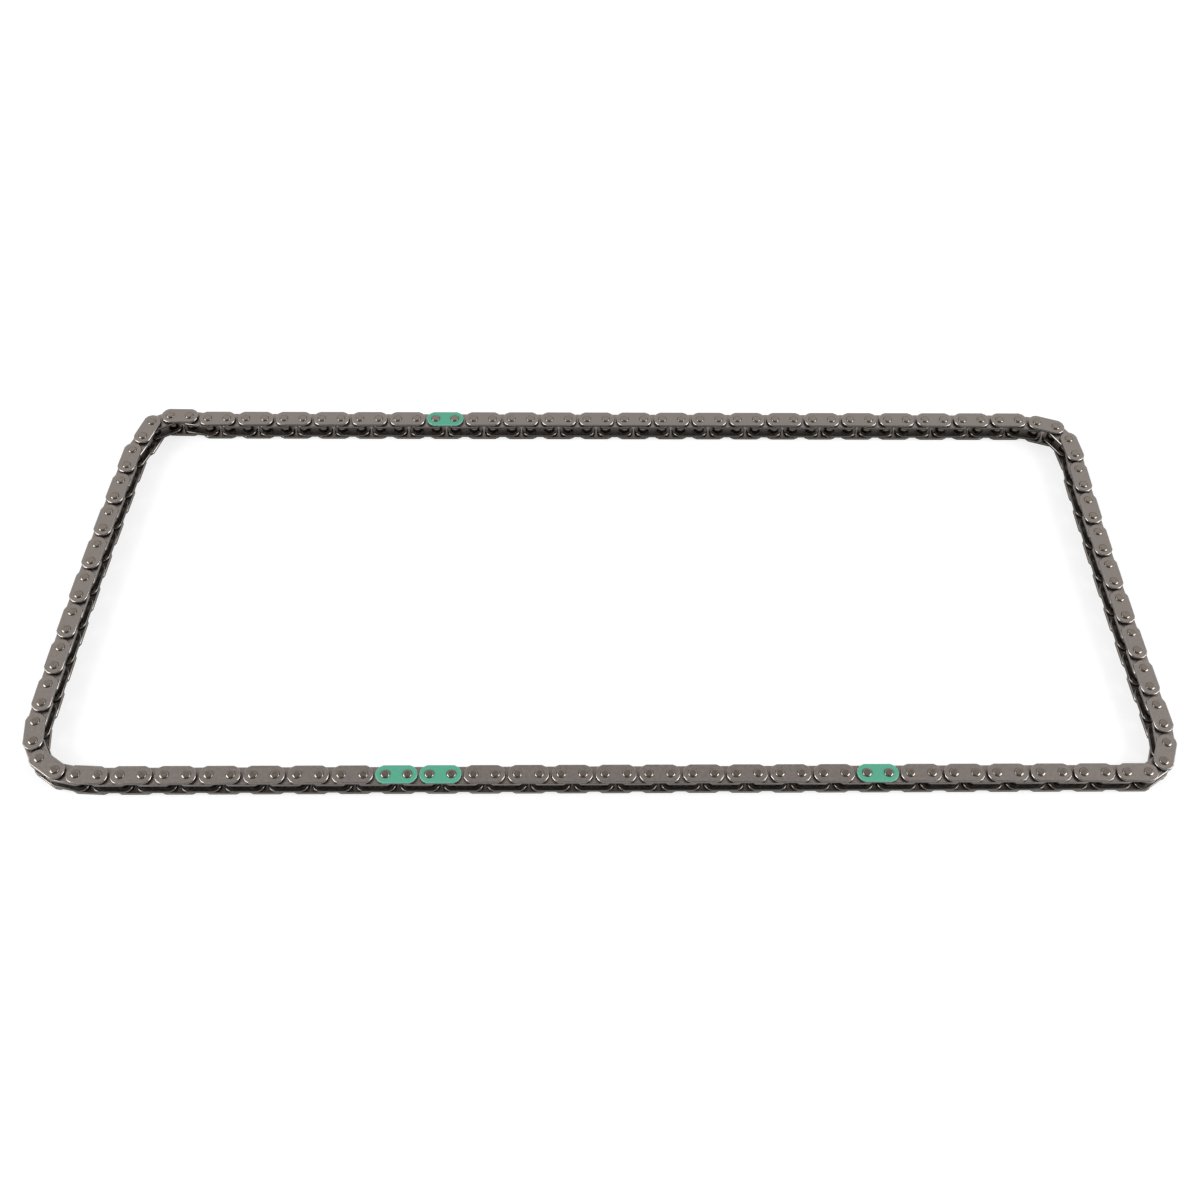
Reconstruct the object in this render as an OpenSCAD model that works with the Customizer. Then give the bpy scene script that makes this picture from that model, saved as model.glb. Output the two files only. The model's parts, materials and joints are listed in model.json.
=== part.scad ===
// Timing chain: a closed single-row bush chain, lying on its side plates as a flattened loop.
// Outer links carry the pins, inner links carry the bushes, and every pin turns in a bush.
// Links and pins are numbered clockwise seen from above, from the left end of the back run.
// Link n joins pin n and pin n + 1. Even links are outer links and odd links are inner links.
// The origin is under the middle of the loop, in the plane of the lower pin ends.

/* [Chain] */
// Distance between neighbouring pin axes
pitch = 8; // [7.9:0.1:9.6]
// Clear gap between the ends of neighbouring plates in one layer
plate_end_gap = 0.5; // [0.3:0.05:0.6]
// Height of every plate across the chain's length
plate_height = 7.3; // [6:0.1:7.3]

/* [Widths] */
// Clear width between the two inner plates
inner_width = 4.2; // [2.5:0.1:6]
// Thickness of an inner plate
inner_plate_thickness = 1.3; // [0.8:0.1:1.8]
// Thickness of an outer plate
outer_plate_thickness = 1.3; // [0.8:0.1:1.8]
// Side play between an inner plate and the outer plate beside it
side_clearance = 0.1; // [0.05:0.01:0.3]

/* [Pins and bushes] */
// Diameter of a pin
pin_diameter = 3.1; // [2.6:0.1:3.4]
// Radial play of a pin in its bush
pin_clearance = 0.05; // [0.03:0.01:0.1]
// Outside diameter of a bush
bush_diameter = 4.6; // [4.2:0.1:5.4]
// Height of a riveted pin end above the outer plate
rivet_height = 0.4; // [0.2:0.05:0.8]
// How far a riveted pin end spreads past the pin all round
rivet_spread = 0.3; // [0.1:0.05:0.4]
// Width of the round shoulder between a riveted end's rim and its flat top
rivet_shoulder = 0.7; // [0.3:0.05:0.9]

/* [Loop] */
// Pairs of links in the straight back run, which has one more link
back_pairs = 21; // [20:1:22]
// Pairs of links in the right side, which has one more link
right_pairs = 7; // [6:1:8]
// Pairs of links in the straight front run, which has one more link
front_pairs = 23; // [22:1:24]
// Pairs of links in the left side
left_pairs = 8; // [7:1:9]
// Bend along the right side, in degrees
right_bow = 3; // [-6:0.5:6]
// Bend along the left side, in degrees
left_bow = -2.5; // [-6:0.5:6]

/* [Timing marks] */
// Outer links with a painted upper plate, counted from the first outer link
marked_links = [6, 39, 49, 50]; // [0:1:60]

/* [Hidden] */
// Relative bend at each pin of a corner, in the order of the links
back_right_bends = [11, 9, 45, 28, 11, -4];
front_right_bends = [10, 17, 38, 35, 0];
front_left_bends = [3, 10, 24, 29, 23, 11];
back_left_bends = [18, -4, 54, 33, 11, -12];

back_links = 2 * back_pairs + 1;
right_links = 2 * right_pairs + 1;
front_links = 2 * front_pairs + 1;
left_links = 2 * left_pairs;
end_radius = (pitch - plate_end_gap) / 2;
pin_radius = pin_diameter / 2;
bore_radius = pin_radius + pin_clearance;
bush_radius = bush_diameter / 2;

// Heights of the layers above the lower pin ends
lower_outer_z = rivet_height;
lower_inner_z = lower_outer_z + outer_plate_thickness + side_clearance;
upper_inner_z = lower_inner_z + inner_plate_thickness + inner_width;
bush_length = 2 * inner_plate_thickness + inner_width;
upper_outer_z = lower_inner_z + bush_length + side_clearance;
rivet_z = upper_outer_z + outer_plate_thickness;

// Smoothness of the round pieces
plate_facets = 96;
pin_facets = 48;
shoulder_steps = 3;

function total(values) = [for (value = values) 1] * values;

function run_headings(heading, bow, count) =
    [for (k = [0:count - 1]) heading + bow * (k / (count - 1) - 0.5)];

function corner_headings(before, after, bends, k = 0, turned = 0) =
    k == len(bends) - 1 ? [] :
    let (now = turned + bends[k])
    concat([before + (after - before) * now / total(bends)],
        corner_headings(before, after, bends, k + 1, now));

// Headings of all links, given the mean headings of the right and left sides
function loop_headings(sides) = concat(
    run_headings(0, 0, back_links),
    corner_headings(0, sides[0] - right_bow / 2, back_right_bends),
    run_headings(sides[0], right_bow, right_links),
    corner_headings(sides[0] + right_bow / 2, -180, front_right_bends),
    run_headings(-180, 0, front_links),
    corner_headings(-180, sides[1] - left_bow / 2, front_left_bends),
    run_headings(sides[1], left_bow, left_links),
    corner_headings(sides[1] + left_bow / 2, -360, back_left_bends));

function heading_vectors(headings) = [for (a = headings) [cos(a), sin(a)]];
function open_gap(sides) = total(heading_vectors(loop_headings(sides)));

// Side headings at which the loop closes, by Newton's method
function closed_sides(sides, tries = 10, step = 0.01) =
    tries == 0 ? sides :
    let (
        gap = open_gap(sides),
        by_right = (open_gap(sides + [step, 0]) - gap) / step,
        by_left = (open_gap(sides + [0, step]) - gap) / step,
        scale = cross(by_right, by_left)
    )
    closed_sides(sides - [cross(gap, by_left), cross(by_right, gap)] / scale, tries - 1, step);

// Rough mean headings of the right and left sides, from which the loop is closed
side_guess = [-85, -277];
headings = loop_headings(closed_sides(side_guess));
link_count = len(headings);

loop_start = [0, 0];
raw_pins = [
    for (i = 0, at = loop_start; i <= link_count;
        at = i < link_count ? at + pitch * [cos(headings[i]), sin(headings[i])] : at, i = i + 1) at
];

// Reach of a plate past its pins, in a direction at the angle given from its length
shoulder_x = sqrt(pow(end_radius, 2) - pow(plate_height / 2, 2));
function plate_reach(angle) =
    abs(end_radius * sin(angle)) <= plate_height / 2 ? end_radius :
    shoulder_x * abs(cos(angle)) + plate_height / 2 * abs(sin(angle));

// Middle of the loop's outline along X (axis 0) or Y (axis 1)
function outline_middle(axis) =
    let (
        ends = [for (i = [0:link_count - 1])
            let (
                reach = plate_reach(axis * 90 - headings[i]),
                a = raw_pins[i][axis],
                b = raw_pins[i + 1][axis]
            )
            [min(a, b) - reach, max(a, b) + reach]]
    )
    (min([for (e = ends) e[0]]) + max([for (e = ends) e[1]])) / 2;

loop_middle = [outline_middle(0), outline_middle(1)];
pins = [for (at = raw_pins) at - loop_middle];

// The back and front runs bend in groups of links, the front ones mirroring the back ones
span = 2 * min(back_pairs, front_pairs - 1);
half = span / 2;
quarter = floor(half / 2);
// Links in the first and in the last group of a run
end_group = 4;
group_starts = [0, end_group, half - quarter, half, half + quarter, span - end_group, span];
run_groups = len(group_starts) - 1;
// Last link that moves in the front run: the links beyond it belong to the left end
links_beyond = 2;
corner_links = len(back_right_bends) + len(front_right_bends) - 2;
front_last = back_links + right_links + front_links + corner_links - 1 - links_beyond;

// Groups of links that stay rigid: name, first link and last link
BODIES = concat(
    [["left_end", front_last + 1, link_count - 1]],
    [for (k = [1:run_groups]) [str("back_run_", k), group_starts[k - 1], group_starts[k] - 1]],
    [["right_end", span, front_last - span]],
    [for (k = [1:run_groups])
        [str("front_run_", k), front_last + 1 - group_starts[k], front_last - group_starts[k - 1]]]
);
KINDS = ["outer_plates", "pins", "inner_plates", "bushes"];
MARKS = ["timing_plate_back", "timing_plate_front_right", "timing_plate_front_left_1",
    "timing_plate_front_left_2"];

function is_inner_kind(kind) = kind == "inner_plates" || kind == "bushes";
function links_of(body, kind) =
    [for (n = [body[1]:body[2]]) if (n % 2 == (is_inner_kind(kind) ? 1 : 0)) n];
function is_marked(link) = len([for (m = marked_links) if (2 * m == link) m]) > 0;

// Places its children at pin n, with X along link n
module on_link(n) {
    translate(pins[n]) rotate(headings[n]) children();
}

// One plate with two holes, its lower face at z
module plate(z, thickness, hole_radius) {
    translate([0, 0, z])
        linear_extrude(thickness)
            difference() {
                plate_outline();
                circle(hole_radius, $fn = pin_facets);
                translate([pitch, 0]) circle(hole_radius, $fn = pin_facets);
            }
}

module plate_outline() {
    intersection() {
        union() {
            circle(end_radius, $fn = plate_facets);
            translate([pitch, 0]) circle(end_radius, $fn = plate_facets);
            translate([0, -plate_height / 2]) square([pitch, plate_height]);
        }
        translate([-end_radius, -plate_height / 2]) square([pitch + 2 * end_radius, plate_height]);
    }
}

module lower_outer_plate() {
    plate(lower_outer_z, outer_plate_thickness, pin_radius);
}

module upper_outer_plate() {
    plate(upper_outer_z, outer_plate_thickness, pin_radius);
}

// Both inner plates of one link, with holes for the pressed bushes
module inner_plate_pair() {
    plate(lower_inner_z, inner_plate_thickness, bush_radius);
    plate(upper_inner_z, inner_plate_thickness, bush_radius);
}

// Half of a pin's section: the shank, with a spread end that has a round shoulder at top and bottom
module pin_section() {
    rim = pin_radius + rivet_spread;
    upper_end = [for (k = [0:shoulder_steps])
        let (a = 90 * k / shoulder_steps)
        [rim - rivet_shoulder * (1 - cos(a)), rivet_z + rivet_height * sin(a)]];
    lower_end = [for (k = [0:shoulder_steps])
        let (point = upper_end[shoulder_steps - k])
        [point[0], rivet_z + rivet_height - point[1]]];
    polygon(concat(
        [[0, 0]],
        lower_end,
        [[pin_radius, lower_outer_z], [pin_radius, rivet_z]],
        upper_end,
        [[0, rivet_z + rivet_height]]
    ));
}

module pin() {
    rotate_extrude($fn = pin_facets) pin_section();
}

module bush() {
    translate([0, 0, lower_inner_z])
        linear_extrude(bush_length)
            difference() {
                circle(bush_radius, $fn = pin_facets);
                circle(bore_radius, $fn = pin_facets);
            }
}

// Outer plates of a group, without its painted upper plates
module outer_plates(body) {
    color("dimgray")
        for (n = links_of(body, "outer_plates")) {
            on_link(n) lower_outer_plate();
            if (!is_marked(n)) on_link(n) upper_outer_plate();
        }
}

module inner_plates(body) {
    color("gray")
        for (n = links_of(body, "inner_plates")) on_link(n) inner_plate_pair();
}

// Two pins for each outer link of a group
module link_pins(body) {
    color("darkgray")
        for (n = links_of(body, "pins")) {
            translate(pins[n]) pin();
            translate(pins[n + 1]) pin();
        }
}

// Two bushes for each inner link of a group
module link_bushes(body) {
    color("slategray")
        for (n = links_of(body, "bushes")) {
            translate(pins[n]) bush();
            translate(pins[n + 1]) bush();
        }
}

module timing_plate(mark) {
    color("mediumseagreen")
        on_link(2 * marked_links[mark]) upper_outer_plate();
}

module group_pieces(body, kind) {
    if (kind == "outer_plates") outer_plates(body);
    if (kind == "inner_plates") inner_plates(body);
    if (kind == "pins") link_pins(body);
    if (kind == "bushes") link_bushes(body);
}

for (body = BODIES)
    for (kind = KINDS)
        group_pieces(body, kind);
for (mark = [0:len(MARKS) - 1])
    timing_plate(mark);
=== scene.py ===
"""A timing chain lying flat on a white studio floor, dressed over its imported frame."""

from __future__ import annotations

import json
import logging
import math
from dataclasses import dataclass, field
from enum import Enum

import bmesh
import bpy
from mathutils import Matrix, Vector

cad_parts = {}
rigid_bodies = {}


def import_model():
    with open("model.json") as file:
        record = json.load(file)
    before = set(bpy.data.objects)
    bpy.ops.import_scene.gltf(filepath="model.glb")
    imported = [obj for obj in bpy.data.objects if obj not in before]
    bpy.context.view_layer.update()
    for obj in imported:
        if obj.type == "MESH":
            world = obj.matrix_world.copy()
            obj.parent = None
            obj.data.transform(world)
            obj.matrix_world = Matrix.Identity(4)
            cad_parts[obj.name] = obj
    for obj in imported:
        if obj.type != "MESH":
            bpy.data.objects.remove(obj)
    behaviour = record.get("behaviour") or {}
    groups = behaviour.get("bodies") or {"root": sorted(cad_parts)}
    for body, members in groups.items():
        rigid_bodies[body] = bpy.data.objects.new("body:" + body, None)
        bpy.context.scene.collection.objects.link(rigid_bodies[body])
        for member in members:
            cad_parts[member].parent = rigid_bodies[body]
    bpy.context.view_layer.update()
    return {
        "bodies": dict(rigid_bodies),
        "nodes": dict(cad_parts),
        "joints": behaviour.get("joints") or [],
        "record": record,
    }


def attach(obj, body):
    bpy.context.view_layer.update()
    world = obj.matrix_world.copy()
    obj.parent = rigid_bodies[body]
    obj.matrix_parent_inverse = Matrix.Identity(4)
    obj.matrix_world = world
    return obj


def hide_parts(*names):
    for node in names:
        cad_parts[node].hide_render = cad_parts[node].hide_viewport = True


MM = 0.001
MERGE_DISTANCE = 0.001 * MM
# A face lies flat when its normal's height is above this.
FLAT_NORMAL = 0.99
WHITE = (1.0, 1.0, 1.0, 1.0)
FLOAT_SOCKET = "NodeSocketFloat"
COLOUR_SOCKET = "NodeSocketColor"
LOG = logging.getLogger("timing_chain")

Colour = tuple[float, float, float]
Span = tuple[float, float]
Feed = float | tuple[float, ...] | bpy.types.NodeSocket


class Kind(Enum):
    """The four kinds of repeated pieces, by the ending of their nodes' names."""

    OUTER_PLATE = "outer_plates"
    INNER_PLATE = "inner_plates"
    PIN = "pins"
    BUSH = "bushes"


def linked_points(start: bmesh.types.BMVert, seen: set[int]) -> list[Vector]:
    """Walks one loose part of a bmesh.

    Args:
        start: A vertex of the part.
        seen: The indices of the vertices already walked, which grows.

    Returns:
        The places of all vertices of the part.
    """
    stack = [start]
    places = []
    seen.add(start.index)
    while stack:
        vert = stack.pop()
        places.append(vert.co.copy())
        for edge in vert.link_edges:
            other = edge.other_vert(vert)
            if other.index not in seen:
                seen.add(other.index)
                stack.append(other)
    return places


def solid_boxes(mesh: bpy.types.Mesh) -> list[tuple[Vector, Vector]]:
    """Finds the separate solids of a CAD node's mesh.

    Args:
        mesh: The node's own mesh, which is only read.

    Returns:
        The low and the high corner of each solid's box.
    """
    bm = bmesh.new()
    bm.from_mesh(mesh)
    bmesh.ops.remove_doubles(bm, verts=bm.verts, dist=MERGE_DISTANCE)
    bm.verts.ensure_lookup_table()
    seen: set[int] = set()
    found = []
    for start in bm.verts:
        if start.index in seen:
            continue
        places = linked_points(start, seen)
        low = Vector([min(co[axis] for co in places) for axis in range(3)])
        high = Vector([max(co[axis] for co in places) for axis in range(3)])
        found.append((low, high))
    bm.free()
    return found


@dataclass(frozen=True)
class Palette:
    """Linear colours of the steel and of the paint. The wall shade and the bush colour are painted shade.
    """

    face: Colour = (0.325, 0.285, 0.262)
    # Colour of the upward-sloping rims, a touch lighter than the face.
    steel_rim: Colour = (0.33, 0.30, 0.275)
    # Painted shade: a near-black colour for upright walls and downward rims, in place of their dark
    # reflections.
    wall_shade: Colour = (0.014, 0.0115, 0.0095)
    pin_top: Colour = (0.27, 0.232, 0.198)
    pin_shoulder: Colour = (0.26, 0.232, 0.206)
    # Painted shade: the bushes are darker than the plate steel, for the shade between the plates.
    bush: Colour = (0.12, 0.108, 0.094)
    paint: Colour = (0.085, 0.37, 0.245)
    # Lighter green on the upward-sloping rims of the marked plates.
    paint_rim: Colour = (0.19, 0.50, 0.38)


@dataclass(frozen=True)
class Finish:
    """Colours and surface values of one material.

    Pattern sizes are scales of noise in object space, where one unit is a metre. The inside shade tone is
    painted shade between the upper and lower plates: it darkens what lies within the half width of the
    middle height.
    """

    name: str
    face: Colour
    rim: Colour
    # Painted shade on upright walls and downward rims.
    wall_shade: Colour
    metallic: float = 1.0
    roughness: Span = (0.3, 0.45)
    mottle_size: float = 900.0
    grain_size: float = 5200.0
    tone_spread: float = 0.3
    bump: float = 0.5
    edge_polish: float = 0.45
    # Painted shade between the upper and lower plates: its middle height, half width and tone.
    middle_height: float = 0.0
    half_width: float = 0.0
    inside_shade_tone: float = 1.0


class NodeBoard:
    """A node tree with short ways to add nodes and to feed their inputs."""

    def __init__(self, tree: bpy.types.NodeTree) -> None:
        """Keeps the nodes and links of the tree of a group, a material or the world."""
        self.nodes = tree.nodes
        self.links = tree.links

    def feed(self, socket: bpy.types.NodeSocket, source: Feed) -> None:
        """Feeds one input.

        Args:
            socket: The input's socket.
            source: An output to link to it, or its fixed value.
        """
        if isinstance(source, bpy.types.NodeSocket):
            self.links.new(source, socket)
        else:
            socket.default_value = source

    def add(
        self, kind: str, feeds: dict[str | int, Feed] | None = None, **options: object
    ) -> bpy.types.Node:
        """Adds one node.

        Args:
            kind: The node's type.
            feeds: What its inputs get, by name or place.
            options: The node's own settings, which are made before its inputs are fed.

        Returns:
            The node.
        """
        node = self.nodes.new(kind)
        for name, value in options.items():
            setattr(node, name, value)
        for name, source in (feeds or {}).items():
            self.feed(node.inputs[name], source)
        return node

    def math(self, operation: str, *terms: Feed) -> bpy.types.NodeSocket:
        """Adds one Math node for an operation on the terms, and gives its output."""
        return self.add("ShaderNodeMath", dict(enumerate(terms)), operation=operation).outputs[0]

    def noise(self, place: Feed, scale: Feed, detail: float) -> bpy.types.NodeSocket:
        """Adds one Noise Texture node, looked up at a place, and gives its value."""
        feeds = {"Vector": place, "Scale": scale, "Detail": detail}
        return self.add("ShaderNodeTexNoise", feeds).outputs["Fac"]

    def ramp(
        self, value: Feed, span: Span, result: tuple[Feed, Feed] = (0.0, 1.0), smooth: bool = False
    ) -> bpy.types.NodeSocket:
        """Adds one Map Range node.

        Args:
            value: What is mapped.
            span: The value at which the run starts and the one at which it ends.
            result: What comes out at the start and at the end.
            smooth: Whether the run eases in and out.

        Returns:
            The mapped value.
        """
        feeds = {
            "Value": value,
            "From Min": span[0],
            "From Max": span[1],
            "To Min": result[0],
            "To Max": result[1],
        }
        interpolation = "SMOOTHSTEP" if smooth else "LINEAR"
        return self.add("ShaderNodeMapRange", feeds, interpolation_type=interpolation).outputs["Result"]

    def mix(self, factor: Feed, first: Feed, second: Feed, blend: str = "MIX") -> bpy.types.NodeSocket:
        """Adds one Mix node for two colours, by the share of the second, and gives its colour."""
        feeds = {"Factor": factor, "A": first, "B": second}
        return self.add("ShaderNodeMix", feeds, data_type="RGBA", blend_type=blend).outputs["Result"]


def shader_group(name: str, inputs: dict[str, Feed], outputs: dict[str, str]) -> bpy.types.NodeTree:
    """Makes a shader node group that has its sockets and no nodes yet.

    Args:
        name: The group's name.
        inputs: Each input's default, where a tuple makes a colour socket.
        outputs: Each output's socket type.

    Returns:
        The group.
    """
    tree = bpy.data.node_groups.new(name, "ShaderNodeTree")
    for label, value in inputs.items():
        kind = COLOUR_SOCKET if isinstance(value, tuple) else FLOAT_SOCKET
        made = tree.interface.new_socket(name=label, in_out="INPUT", socket_type=kind)
        made.default_value = value
    for label, kind in outputs.items():
        tree.interface.new_socket(name=label, in_out="OUTPUT", socket_type=kind)
    return tree


@dataclass
class ShaderKit:
    """Builds the shared node groups and the materials that use them."""

    mottle_detail: float = 4.0
    grain_detail: float = 3.0
    noise_middle: float = 0.5
    noise_span: Span = (0.3, 0.7)
    rim_span: Span = (0.2, 0.5)
    face_span: Span = (0.8, 0.98)
    bump_distance: float = 0.02 * MM

    def __post_init__(self) -> None:
        """Makes the three shared groups once."""
        self.surface = self._surface_group()
        self.rim = self._rim_group()
        self.inside_shade = self._inside_shade_group()

    def _surface_group(self) -> bpy.types.NodeTree:
        """Makes the tumbled steel surface: mottled tone, uneven roughness and a fine grain.

        Returns:
            The group, with outputs Tone, Roughness and Height.
        """
        inputs = {
            "Mottle Size": 900.0,
            "Grain Size": 5200.0,
            "Tone Spread": 0.25,
            "Low Roughness": 0.3,
            "High Roughness": 0.45,
        }
        outputs = dict.fromkeys(("Tone", "Roughness", "Height"), FLOAT_SOCKET)
        tree = shader_group("tumbled_surface", inputs, outputs)
        board = NodeBoard(tree)
        given = board.add("NodeGroupInput").outputs
        place = board.add("ShaderNodeTexCoord").outputs["Object"]
        mottle = board.noise(place, given["Mottle Size"], self.mottle_detail)
        grain = board.noise(place, given["Grain Size"], self.grain_detail)
        centred = board.math("SUBTRACT", mottle, self.noise_middle)
        roughness = (given["Low Roughness"], given["High Roughness"])
        results = {
            "Tone": board.math("MULTIPLY_ADD", centred, given["Tone Spread"], 1.0),
            "Roughness": board.ramp(mottle, self.noise_span, roughness),
            "Height": grain,
        }
        board.add("NodeGroupOutput", results)
        return tree

    def _rim_group(self) -> bpy.types.NodeTree:
        """Makes the mask that tells flat faces, sloping rims and upright walls apart, and paints shade on
        the walls.

        Returns:
            The group. Its Color output goes from the painted wall shade to the rim colour to the face as a
            surface turns upwards, and from the painted wall shade to the face as it turns downwards. Its
            Polish output is lower on rims and walls.
        """
        grey = (0.5, 0.5, 0.5, 1.0)
        inputs = {"Face": grey, "Rim": grey, "Wall Shade": grey, "Edge Polish": 0.5}
        outputs = {"Color": COLOUR_SOCKET, "Polish": FLOAT_SOCKET}
        tree = shader_group("face_rim_painted_wall_shade", inputs, outputs)
        board = NodeBoard(tree)
        given = board.add("NodeGroupInput").outputs
        normal = board.add("ShaderNodeNewGeometry").outputs["Normal"]
        upward = board.add("ShaderNodeSeparateXYZ", {0: normal}).outputs["Z"]
        to_rim = board.ramp(upward, self.rim_span)
        to_face = board.ramp(board.math("ABSOLUTE", upward), self.face_span)
        # Upright walls and downward rims get the painted wall shade.
        edge = board.mix(to_rim, given["Wall Shade"], given["Rim"])
        results = {
            "Color": board.mix(to_face, edge, given["Face"]),
            "Polish": board.ramp(to_face, (0.0, 1.0), (given["Edge Polish"], 1.0)),
        }
        board.add("NodeGroupOutput", results)
        return tree

    @staticmethod
    def _inside_shade_group() -> bpy.types.NodeTree:
        """Makes the mask of painted shade, which darkens the inner plates' faces between the upper and
        lower plates.

        Returns:
            The group, whose Tone output is the painted shade's tone near the middle height and 1 beyond the
            half width.
        """
        inputs = {"Middle Height": 0.0, "Half Width": 1.0, "Inside Shade Tone": 1.0}
        tree = shader_group("painted_inside_shade", inputs, {"Tone": FLOAT_SOCKET})
        board = NodeBoard(tree)
        given = board.add("NodeGroupInput").outputs
        place = board.add("ShaderNodeTexCoord").outputs["Object"]
        height = board.add("ShaderNodeSeparateXYZ", {0: place}).outputs["Z"]
        distance = board.math("ABSOLUTE", board.math("SUBTRACT", height, given["Middle Height"]))
        beyond = board.math("GREATER_THAN", distance, given["Half Width"])
        board.add("NodeGroupOutput", {"Tone": board.ramp(beyond, (0.0, 1.0), (given["Inside Shade Tone"], 1.0))})
        return tree

    def material(self, finish: Finish) -> bpy.types.Material:
        """Builds one material.

        Args:
            finish: Its colours and surface values.

        Returns:
            The material, with its own Principled shader.
        """
        made = bpy.data.materials.new(finish.name)
        made.use_nodes = True
        board = NodeBoard(made.node_tree)
        surface_values = {
            "Mottle Size": finish.mottle_size,
            "Grain Size": finish.grain_size,
            "Tone Spread": finish.tone_spread,
            "Low Roughness": finish.roughness[0],
            "High Roughness": finish.roughness[1],
        }
        rim_values = {
            "Face": (*finish.face, 1.0),
            "Rim": (*finish.rim, 1.0),
            "Wall Shade": (*finish.wall_shade, 1.0),
            "Edge Polish": finish.edge_polish,
        }
        inside_shade_values = {
            "Middle Height": finish.middle_height,
            "Half Width": finish.half_width,
            "Inside Shade Tone": finish.inside_shade_tone,
        }
        surface = board.add("ShaderNodeGroup", surface_values, node_tree=self.surface).outputs
        rim = board.add("ShaderNodeGroup", rim_values, node_tree=self.rim).outputs
        inside_shade = board.add("ShaderNodeGroup", inside_shade_values, node_tree=self.inside_shade).outputs
        # The mottled tone times the painted shade inside the chain.
        tone = board.math("MULTIPLY", surface["Tone"], inside_shade["Tone"])
        grey = board.add("ShaderNodeCombineColor", dict.fromkeys(("Red", "Green", "Blue"), tone))
        bump_values = {
            "Strength": finish.bump,
            "Distance": self.bump_distance,
            "Height": surface["Height"],
        }
        shader_values = {
            "Metallic": finish.metallic,
            "Base Color": board.mix(1.0, rim["Color"], grey.outputs["Color"], "MULTIPLY"),
            "Roughness": board.math("MULTIPLY", surface["Roughness"], rim["Polish"]),
            "Normal": board.add("ShaderNodeBump", bump_values).outputs["Normal"],
        }
        shader = made.node_tree.nodes["Principled BSDF"]
        for name, source in shader_values.items():
            board.feed(shader.inputs[name], source)
        return made


def finished_mesh(bm: bmesh.types.BMesh, name: str) -> bpy.types.Mesh:
    """Turns a bmesh into a mesh.

    Args:
        bm: The bmesh, which is freed.
        name: The mesh's name.

    Returns:
        The mesh.
    """
    mesh = bpy.data.meshes.new(name)
    bm.to_mesh(mesh)
    bm.free()
    return mesh


def finished_shape(bm: bmesh.types.BMesh, name: str) -> bpy.types.Mesh:
    """Turns a bmesh into a mesh that is shaded smooth except on its flat faces.

    Args:
        bm: The bmesh, which is freed.
        name: The mesh's name.

    Returns:
        The mesh.
    """
    for face in bm.faces:
        face.smooth = abs(face.normal.z) < FLAT_NORMAL
    return finished_mesh(bm, name)


def thicken(bm: bmesh.types.BMesh, height: float) -> None:
    """Makes a closed solid of flat faces: a lifted copy of them and the walls between.

    Args:
        bm: The bmesh, which holds the flat faces alone.
        height: The solid's height.
    """
    lifted = bmesh.ops.extrude_face_region(bm, geom=bm.faces[:], use_keep_orig=True)
    top = [item for item in lifted["geom"] if isinstance(item, bmesh.types.BMVert)]
    bmesh.ops.translate(bm, verts=top, vec=(0, 0, height))
    bmesh.ops.recalc_face_normals(bm, faces=bm.faces)


@dataclass
class PlateShape:
    """Side plate with two holes and broken outer rims."""

    pitch: float
    height: float
    end_radius: float
    thickness: float
    hole_radius: float
    rim_width: float = 0.28 * MM
    end_steps: int = 3
    hole_segments: int = 12

    def _half_face(self) -> list[tuple[float, float]]:
        """Draws the half of the plate's face that lies on one side of its middle line.

        Returns:
            Its corners in order, as X and Y.
        """
        shoulder = math.asin(self.height / 2 / self.end_radius)
        end_angles = [shoulder * k / self.end_steps for k in range(self.end_steps + 1)]
        end = [(self.end_radius * math.cos(a), self.end_radius * math.sin(a)) for a in end_angles]
        half_circle = self.hole_segments // 2
        hole_angles = [math.pi * (1 - k / half_circle) for k in range(half_circle + 1)]
        hole = [(self.hole_radius * math.cos(a), self.hole_radius * math.sin(a)) for a in hole_angles]
        corners = [(self.pitch + x, y) for x, y in end]
        corners += [(-x, y) for x, y in reversed(end)]
        for middle in (0.0, self.pitch):
            corners += [(middle + x, y) for x, y in hole]
        return corners

    def _is_outer_rim(self, edge: bmesh.types.BMEdge) -> bool:
        """Tells the edges at the plate's outer wall from those at its holes and within its faces.

        Args:
            edge: An edge of the plate before its rims are broken.

        Returns:
            Whether it lies between a flat face and the outer wall.
        """
        if len(edge.link_faces) != 2:
            return False
        flat = [abs(face.normal.z) > FLAT_NORMAL for face in edge.link_faces]
        if flat[0] == flat[1]:
            return False
        centre = (edge.verts[0].co + edge.verts[1].co) / 2
        to_hole = min(math.hypot(centre.x - x, centre.y) for x in (0.0, self.pitch))
        return to_hole > (self.hole_radius + self.end_radius) / 2

    def build(self) -> bpy.types.Mesh:
        """Builds the plate with its first hole at the origin and its second along X.

        Returns:
            The plate's mesh, lower face at height zero.
        """
        bm = bmesh.new()
        bm.faces.new([bm.verts.new((x, y, 0.0)) for x, y in self._half_face()])
        everything = bm.verts[:] + bm.edges[:] + bm.faces[:]
        bmesh.ops.mirror(bm, geom=everything, axis="Y", merge_dist=MERGE_DISTANCE)
        bmesh.ops.remove_doubles(bm, verts=bm.verts, dist=MERGE_DISTANCE)
        bmesh.ops.recalc_face_normals(bm, faces=bm.faces)
        thicken(bm, self.thickness)
        rims = [edge for edge in bm.edges if self._is_outer_rim(edge)]
        bmesh.ops.bevel(
            bm, geom=rims, offset=self.rim_width, segments=1, profile=0.5, affect="EDGES", material=-1
        )
        return finished_shape(bm, "plate_shape")


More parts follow.
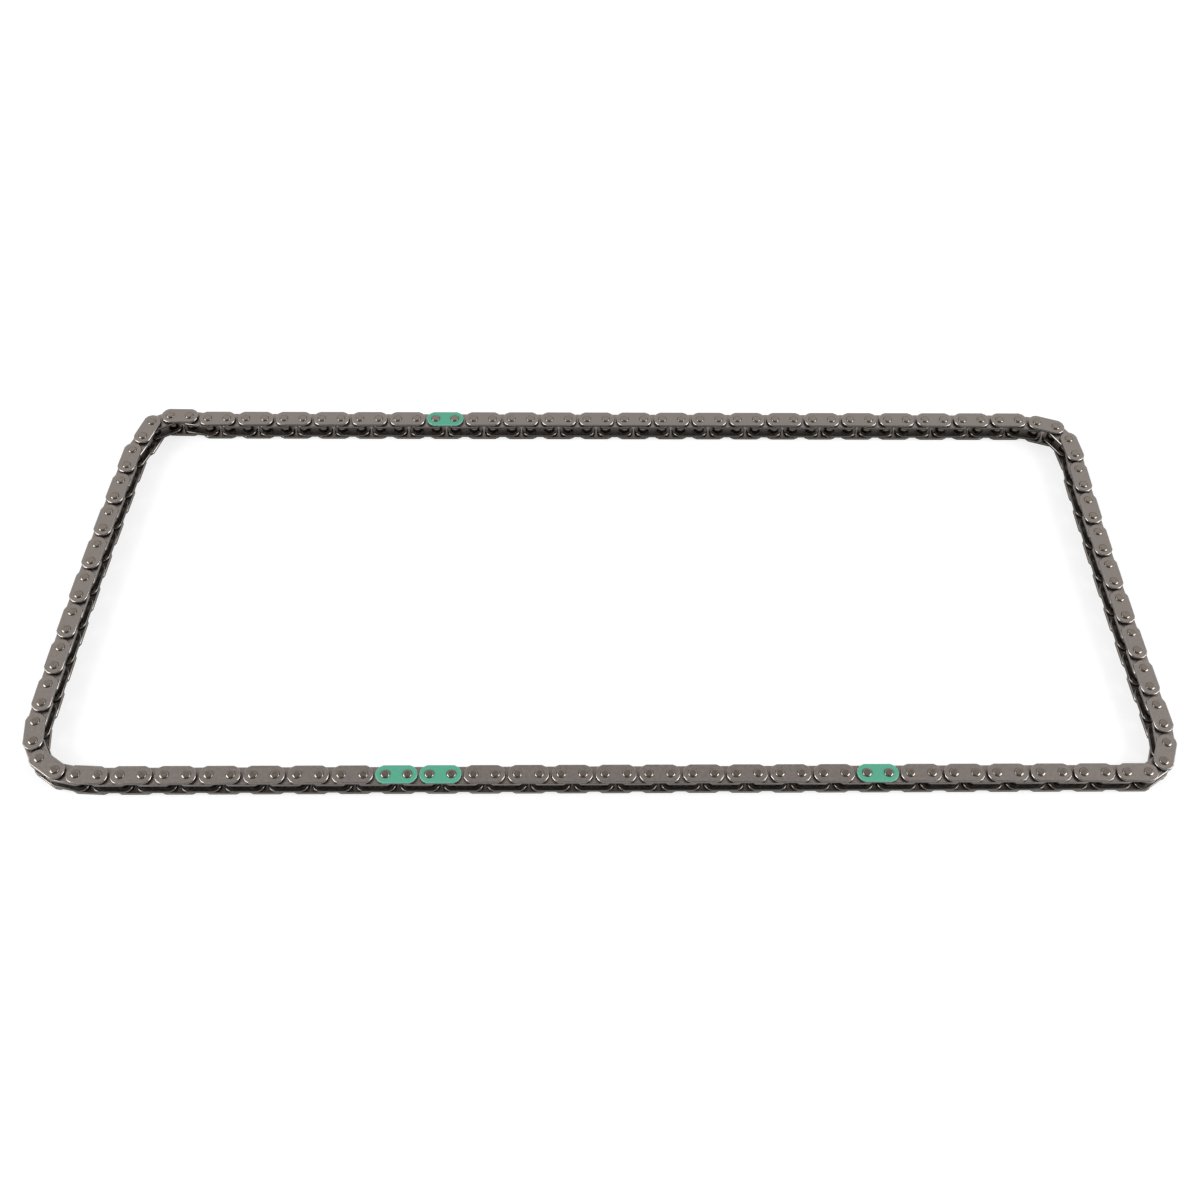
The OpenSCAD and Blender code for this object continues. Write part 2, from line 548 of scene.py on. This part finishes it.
@dataclass
class PinShape:
    """Pin with a riveted end above and below the outer plates."""

    length: float
    rim_radius: float
    shank_radius: float
    rivet_height: float = 0.4 * MM
    shoulder: float = 0.7 * MM
    shoulder_steps: int = 2
    segments: int = 12

    def _section(self) -> list[tuple[float, float]]:
        """Draws the pin's outline from its upper to its lower flat end.

        Returns:
            Its corners in order, as radius and height.
        """
        quarter = math.pi / 2 / self.shoulder_steps
        angles = [k * quarter for k in range(self.shoulder_steps + 1)]
        dome = [
            (self.rim_radius - self.shoulder * (1 - math.cos(a)), self.rivet_height * math.sin(a))
            for a in angles
        ]
        rivet_z = self.length - self.rivet_height
        section = [(radius, rivet_z + z) for radius, z in reversed(dome)]
        section += [(self.shank_radius, rivet_z), (self.shank_radius, self.rivet_height)]
        section += [(radius, self.rivet_height - z) for radius, z in dome]
        return section

    def build(self) -> bpy.types.Mesh:
        """Builds the pin by spinning its section about Z.

        Returns:
            The pin's mesh, lower end at height zero.
        """
        bm = bmesh.new()
        verts = [bm.verts.new((radius, 0.0, z)) for radius, z in self._section()]
        edges = [bm.edges.new(pair) for pair in zip(verts, verts[1:])]
        bmesh.ops.spin(
            bm, geom=verts + edges, cent=(0, 0, 0), axis=(0, 0, 1), angle=2 * math.pi,
            steps=self.segments, use_merge=True,
        )
        bmesh.ops.remove_doubles(bm, verts=bm.verts, dist=MERGE_DISTANCE)
        bmesh.ops.holes_fill(bm, edges=[edge for edge in bm.edges if edge.is_boundary], sides=0)
        bmesh.ops.recalc_face_normals(bm, faces=bm.faces)
        return finished_shape(bm, "pin_shape")


@dataclass
class BushShape:
    """Plain bush with a bore, whose flats lie outside the bore's circle so that the pin turns freely."""

    length: float
    outer_radius: float
    bore_radius: float
    segments: int = 12

    def build(self) -> bpy.types.Mesh:
        """Builds the bush from two bridged rings.

        Returns:
            The bush's mesh, lower end at height zero.
        """
        bm = bmesh.new()
        bore_corner_radius = self.bore_radius / math.cos(math.pi / self.segments)
        for radius in (self.outer_radius, bore_corner_radius):
            bmesh.ops.create_circle(bm, cap_ends=False, segments=self.segments, radius=radius)
        bmesh.ops.bridge_loops(bm, edges=bm.edges[:])
        thicken(bm, self.length)
        return finished_shape(bm, "bush_shape")


@dataclass
class Chain:
    """The whole chain: its pins' places, the shapes of its pieces and the pieces of each CAD node.

    The unshaded share is the outer part of an inner plate's thickness that the painted inside shade leaves
    alone.
    """

    frame: dict
    kit: ShaderKit
    palette: Palette
    pin_shank_radius: float = 1.55 * MM
    pin_clearance: float = 0.05 * MM
    # Painted shade on the inner plates between the upper and lower plates: the share of the thickness left
    # out of it, and its tone.
    unshaded_share: float = 0.8
    inside_shade_tone: float = 0.5
    stations: list[Vector] = field(default_factory=list)

    def __post_init__(self) -> None:
        """Reads the pins' places and the pieces' sizes from the frame, and makes shapes and materials."""
        self.boxes = {name: solid_boxes(node.data) for name, node in self.frame["nodes"].items()}
        for name, boxes in sorted(self.boxes.items()):
            if name.endswith(Kind.PIN.value):
                self.stations += [(low + high) / 2 for low, high in boxes]
        first = self.stations[0]
        self.pitch = min((at - first).xy.length for at in self.stations[1:])
        self.shapes = self._shapes()
        self.materials = self._materials()

    def _first_size(self, node: str) -> Vector:
        """Gives the size of the first solid of a CAD node."""
        low, high = self.boxes[node][0]
        return high - low

    def _plate(self, size: Vector, thickness: float, hole_radius: float) -> bpy.types.Mesh:
        """Builds a plate from the box of one that lies along X, its thickness and its holes' radius."""
        end_radius = (size.x - self.pitch) / 2
        return PlateShape(self.pitch, size.y, end_radius, thickness, hole_radius).build()

    def _shapes(self) -> dict[Kind, bpy.types.Mesh]:
        """Builds the shapes, sized by the frame's first solids.

        Returns:
            One mesh for each kind of piece.
        """
        plate = self._first_size("timing_plate_back")
        inner = self._first_size("back_run_1_inner_plates")
        pin = self._first_size("back_run_1_pins")
        bush = self._first_size("back_run_1_bushes")
        bore_radius = self.pin_shank_radius + self.pin_clearance
        return {
            Kind.OUTER_PLATE: self._plate(plate, plate.z, self.pin_shank_radius),
            Kind.INNER_PLATE: self._plate(plate, inner.z, bush.y / 2),
            Kind.PIN: PinShape(pin.z, pin.y / 2, self.pin_shank_radius).build(),
            Kind.BUSH: BushShape(bush.z, bush.y / 2, bore_radius).build(),
        }

    def _materials(self) -> dict[str, bpy.types.Material]:
        """Builds the materials.

        Returns:
            The material of each slot in the record.
        """
        colours = self.palette
        inner = self._first_size("back_run_1_inner_plates")
        pin = self._first_size("back_run_1_pins")
        bush = self._first_size("back_run_1_bushes")
        finishes = {
            "outer_plate": Finish("plate_steel", colours.face, colours.steel_rim, colours.wall_shade),
            # The inner plates' faces get painted shade between the upper and lower plates.
            "inner_plate": Finish(
                "inner_plate_steel", colours.face, colours.steel_rim, colours.wall_shade,
                middle_height=pin.z / 2, half_width=bush.z / 2 - self.unshaded_share * inner.z,
                inside_shade_tone=self.inside_shade_tone,
            ),
            "pin": Finish(
                "pin_steel", colours.pin_top, colours.pin_shoulder, colours.wall_shade,
                roughness=(0.16, 0.28), tone_spread=0.4,
            ),
            # The bushes' darker colour is painted shade, on all their faces.
            "bush": Finish(
                "bush_steel_shaded", colours.bush, colours.bush, colours.bush, roughness=(0.2, 0.32)
            ),
            "marked_plate": Finish(
                "mint_paint", colours.paint, colours.paint_rim, colours.wall_shade, metallic=0.0,
                roughness=(0.45, 0.6), mottle_size=1500.0, tone_spread=0.35, bump=0.7,
            ),
        }
        return {slot: self.kit.material(finish) for slot, finish in finishes.items()}

    def _link_place(self, centre: Vector, low: float) -> Matrix:
        """Places a plate on the two pins beside its middle.

        Args:
            centre: The middle of the plate's box.
            low: The height of its lower face.

        Returns:
            The plate's place, from its first pin towards its second.
        """
        near = sorted(self.stations, key=lambda at: (at.xy - centre.xy).length)[:2]
        along = (near[1] - near[0]).xy
        heading = math.atan2(along.y, along.x)
        return Matrix.Translation((near[0].x, near[0].y, low)) @ Matrix.Rotation(heading, 4, "Z")

    def dress(self, node: str, kind: Kind, slot: str, body: str) -> bpy.types.Object:
        """Builds the detailed piece that stands for one CAD node.

        Args:
            node: The CAD node.
            kind: What its solids are.
            slot: The record's material slot.
            body: The body that the piece rides on.

        Returns:
            The piece.
        """
        bm = bmesh.new()
        for low, high in self.boxes[node]:
            centre = (low + high) / 2
            before = len(bm.verts)
            bm.from_mesh(self.shapes[kind])
            bm.verts.ensure_lookup_table()
            if kind in (Kind.OUTER_PLATE, Kind.INNER_PLATE):
                place = self._link_place(centre, low.z)
            else:
                place = Matrix.Translation((centre.x, centre.y, low.z))
            bmesh.ops.transform(bm, matrix=place, verts=bm.verts[before:])
        piece = bpy.data.objects.new(node + "_finished", finished_mesh(bm, node + "_finished"))
        bpy.context.scene.collection.objects.link(piece)
        piece.data.materials.append(self.materials[slot])
        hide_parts(node)
        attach(piece, body)
        return piece

    def build(self) -> None:
        """Builds every piece, body by body."""
        slots = {part["node"]: part["material_slot"] for part in self.frame["record"]["subparts"]}
        for body, nodes in self.frame["record"]["behaviour"]["bodies"].items():
            for node in nodes:
                kind = next((kind for kind in Kind if node.endswith(kind.value)), Kind.OUTER_PLATE)
                piece = self.dress(node, kind, slots[node], body)
                LOG.info("%s: %d faces", piece.name, len(piece.data.polygons))


@dataclass(frozen=True)
class Studio:
    """Floor, world and lamps: a white room with a darker ceiling and front, and two soft side lamps.

    Lengths are in metres, angles are elevations in degrees, and each pair of lights belongs to the
    pair of places before it.
    """

    floor_size: float = 12.0
    floor_drop: float = 0.05 * MM
    floor_tone: float = 0.4
    floor_roughness: float = 0.9
    glow_distances: Span = (0.7, 2.5)
    glow_lights: Span = (0.7, 0.86)
    ceiling_angles: Span = (46.0, 70.0)
    ceiling_lights: Span = (1.0, 0.3)
    low_angles: Span = (20.0, 42.0)
    low_lights: Span = (0.35, 1.0)
    front_places: Span = (-0.6, 0.1)
    front_lights: Span = (0.25, 1.0)
    backdrop_angles: Span = (8.0, 20.0)
    backdrop_lights: Span = (1.0, 0.0)
    lamp_size: float = 0.9
    lamp_power: float = 14.0
    lamp_reach: tuple[float, float, float] = (1.2, -0.3, 0.68)

    def build(self) -> None:
        """Builds the floor, the world and the lamps."""
        self._floor()
        self._world()
        across, along, up = self.lamp_reach
        for side, name in ((-1, "left_lamp"), (1, "right_lamp")):
            self._lamp(name, Vector((side * across, along, up)))
        bpy.context.scene.view_settings.view_transform = "Standard"

    @staticmethod
    def _background_rays(board: NodeBoard, share: Feed = 1.0) -> bpy.types.NodeSocket:
        """Tells which rays see the background: those of the camera, and those of metal and glass.

        Args:
            board: The tree that the nodes go into.
            share: How much of the background metal and glass see.

        Returns:
            A socket that is 1 for a camera ray, the share for a glossy or transmitted one and 0 for others.
        """
        path = board.add("ShaderNodeLightPath").outputs
        bounced = board.math("MAXIMUM", path["Is Glossy Ray"], path["Is Transmission Ray"])
        return board.math("MAXIMUM", path["Is Camera Ray"], board.math("MULTIPLY", bounced, share))

    @staticmethod
    def _heights(angles: Span) -> Span:
        """Turns two elevations in degrees into heights on the unit sphere."""
        low, high = (math.sin(math.radians(angle)) for angle in angles)
        return low, high

    def _floor(self) -> None:
        """Makes the white floor, which keeps a soft shadow and turns as white as the world far off."""
        bm = bmesh.new()
        bmesh.ops.create_grid(bm, x_segments=1, y_segments=1, size=self.floor_size / 2)
        floor = bpy.data.objects.new("floor", finished_mesh(bm, "floor"))
        bpy.context.scene.collection.objects.link(floor)
        floor.location.z = -self.floor_drop
        white = bpy.data.materials.new("floor_white")
        white.use_nodes = True
        board = NodeBoard(white.node_tree)
        place = board.add("ShaderNodeTexCoord").outputs["Object"]
        away = board.add("ShaderNodeVectorMath", {0: place}, operation="LENGTH").outputs["Value"]
        glow = board.ramp(away, self.glow_distances, self.glow_lights, smooth=True)
        shader_values = {
            "Base Color": (self.floor_tone, self.floor_tone, self.floor_tone, 1.0),
            "Roughness": self.floor_roughness,
            "Specular IOR Level": 0.0,
            "Emission Color": WHITE,
            "Emission Strength": board.math("MULTIPLY", self._background_rays(board), glow),
        }
        shader = white.node_tree.nodes["Principled BSDF"]
        for name, source in shader_values.items():
            board.feed(shader.inputs[name], source)
        floor.data.materials.append(white)

    def _world(self) -> None:
        """Makes the white world, with a ceiling that is darker for the metal and the paint."""
        world = bpy.data.worlds.new("studio_world")
        bpy.context.scene.world = world
        world.use_nodes = True
        board = NodeBoard(world.node_tree)
        place = board.add("ShaderNodeTexCoord").outputs["Generated"]
        way = board.add("ShaderNodeSeparateXYZ", {0: place}).outputs
        ceiling = board.ramp(way["Z"], self._heights(self.ceiling_angles), self.ceiling_lights, smooth=True)
        low = board.ramp(way["Z"], self._heights(self.low_angles), self.low_lights, smooth=True)
        front = board.ramp(way["Y"], self.front_places, self.front_lights, smooth=True)
        backdrop = board.ramp(way["Z"], self._heights(self.backdrop_angles), self.backdrop_lights)
        light = board.math("MULTIPLY", board.math("MULTIPLY", ceiling, low), front)
        background = world.node_tree.nodes["Background"]
        shown = board.math("MAXIMUM", light, self._background_rays(board, backdrop))
        board.feed(background.inputs["Strength"], shown)
        board.feed(background.inputs["Color"], WHITE)

    def _lamp(self, name: str, place: Vector) -> None:
        """Adds one square lamp that points at the chain's middle.

        Args:
            name: The lamp's name.
            place: Where it stands.
        """
        data = bpy.data.lights.new(name, "AREA")
        data.size = self.lamp_size
        data.energy = self.lamp_power
        lamp = bpy.data.objects.new(name, data)
        lamp.location = place
        lamp.rotation_euler = (-place).to_track_quat("-Z", "Y").to_euler()
        bpy.context.scene.collection.objects.link(lamp)


@dataclass(frozen=True)
class Viewpoint:
    """Camera as the photograph was taken: its place in metres and its angles in degrees."""

    place: tuple[float, float, float] = (-0.0132, -0.3213, 0.5039)
    below_horizon: float = 57.659
    turned_right: float = 2.304
    rolled: float = 1.917
    focal_length: float = 44.79
    sensor: float = 36.0

    def build(self) -> None:
        """Builds the camera and makes it the scene's camera."""
        data = bpy.data.cameras.new("camera")
        data.lens = self.focal_length
        data.sensor_width = self.sensor
        pitch, yaw, roll = (math.radians(a) for a in (self.below_horizon, self.turned_right, self.rolled))
        forward = Vector(
            (math.cos(pitch) * math.sin(yaw), math.cos(pitch) * math.cos(yaw), -math.sin(pitch))
        )
        right = forward.cross(Vector((0, 0, 1))).normalized()
        up = right.cross(forward)
        across = right * math.cos(roll) + up * math.sin(roll)
        upward = up * math.cos(roll) - right * math.sin(roll)
        turn = Matrix((across, upward, -forward)).transposed().to_4x4()
        camera = bpy.data.objects.new("camera", data)
        camera.matrix_world = Matrix.Translation(self.place) @ turn
        bpy.context.scene.collection.objects.link(camera)
        bpy.context.scene.camera = camera


def main() -> None:
    """Builds the chain, the studio and the camera."""
    logging.basicConfig(level=logging.INFO)
    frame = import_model()
    Viewpoint().build()
    Studio().build()
    Chain(frame, ShaderKit(), Palette()).build()


if __name__ == "__main__":
    main()
